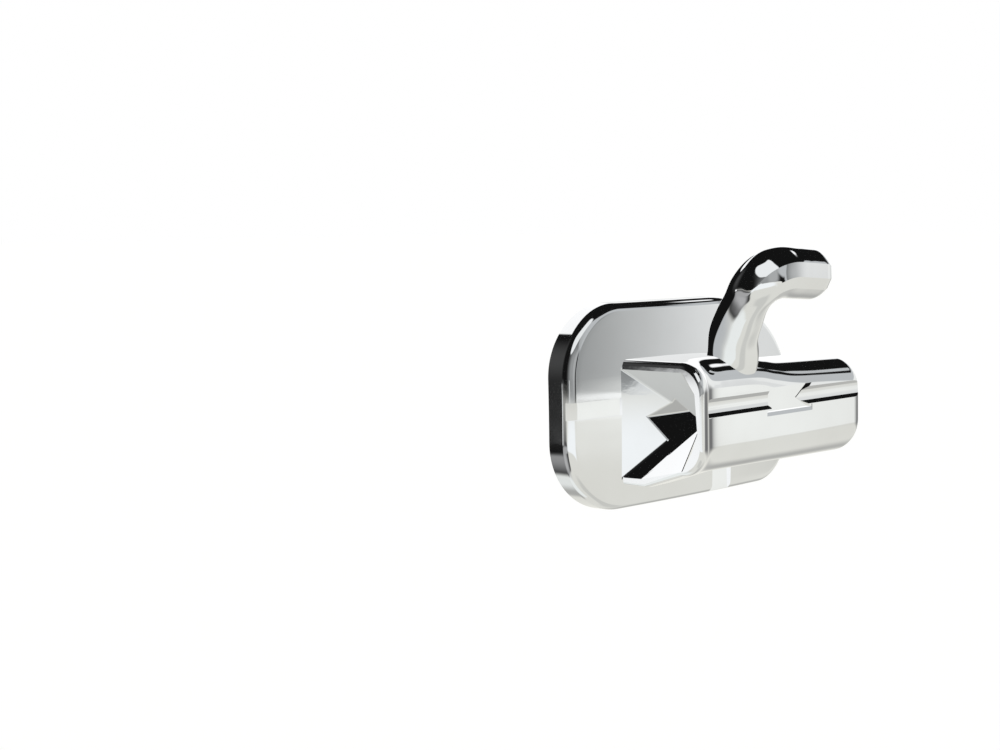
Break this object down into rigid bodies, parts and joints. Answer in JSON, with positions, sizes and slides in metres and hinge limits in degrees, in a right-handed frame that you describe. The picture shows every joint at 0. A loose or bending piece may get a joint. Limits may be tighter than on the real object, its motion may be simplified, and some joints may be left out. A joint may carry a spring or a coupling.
{
  "type": "mini buccal tube",
  "caption": "One-piece metal molar tube with a bonding pad, a flared mouth opening to a turned rectangular archwire slot, and a curved hook.",
  "frame": {"origin": "middle of the bonding pad's outline, at the height of the rim of its tooth side", "axes": "+X distally along the tube, away from the flared mouth; -Y towards the cheek, out of the pad; +Z gingivally, to the side that carries the hook"},
  "size_m": [0.0057, 0.0027, 0.0038],
  "materials": {
    "polished_steel": "bright polished stainless steel"
  },
  "bodies": {
    "root": {"buccal_tube": "polished_steel"}
  },
  "joints": []
}
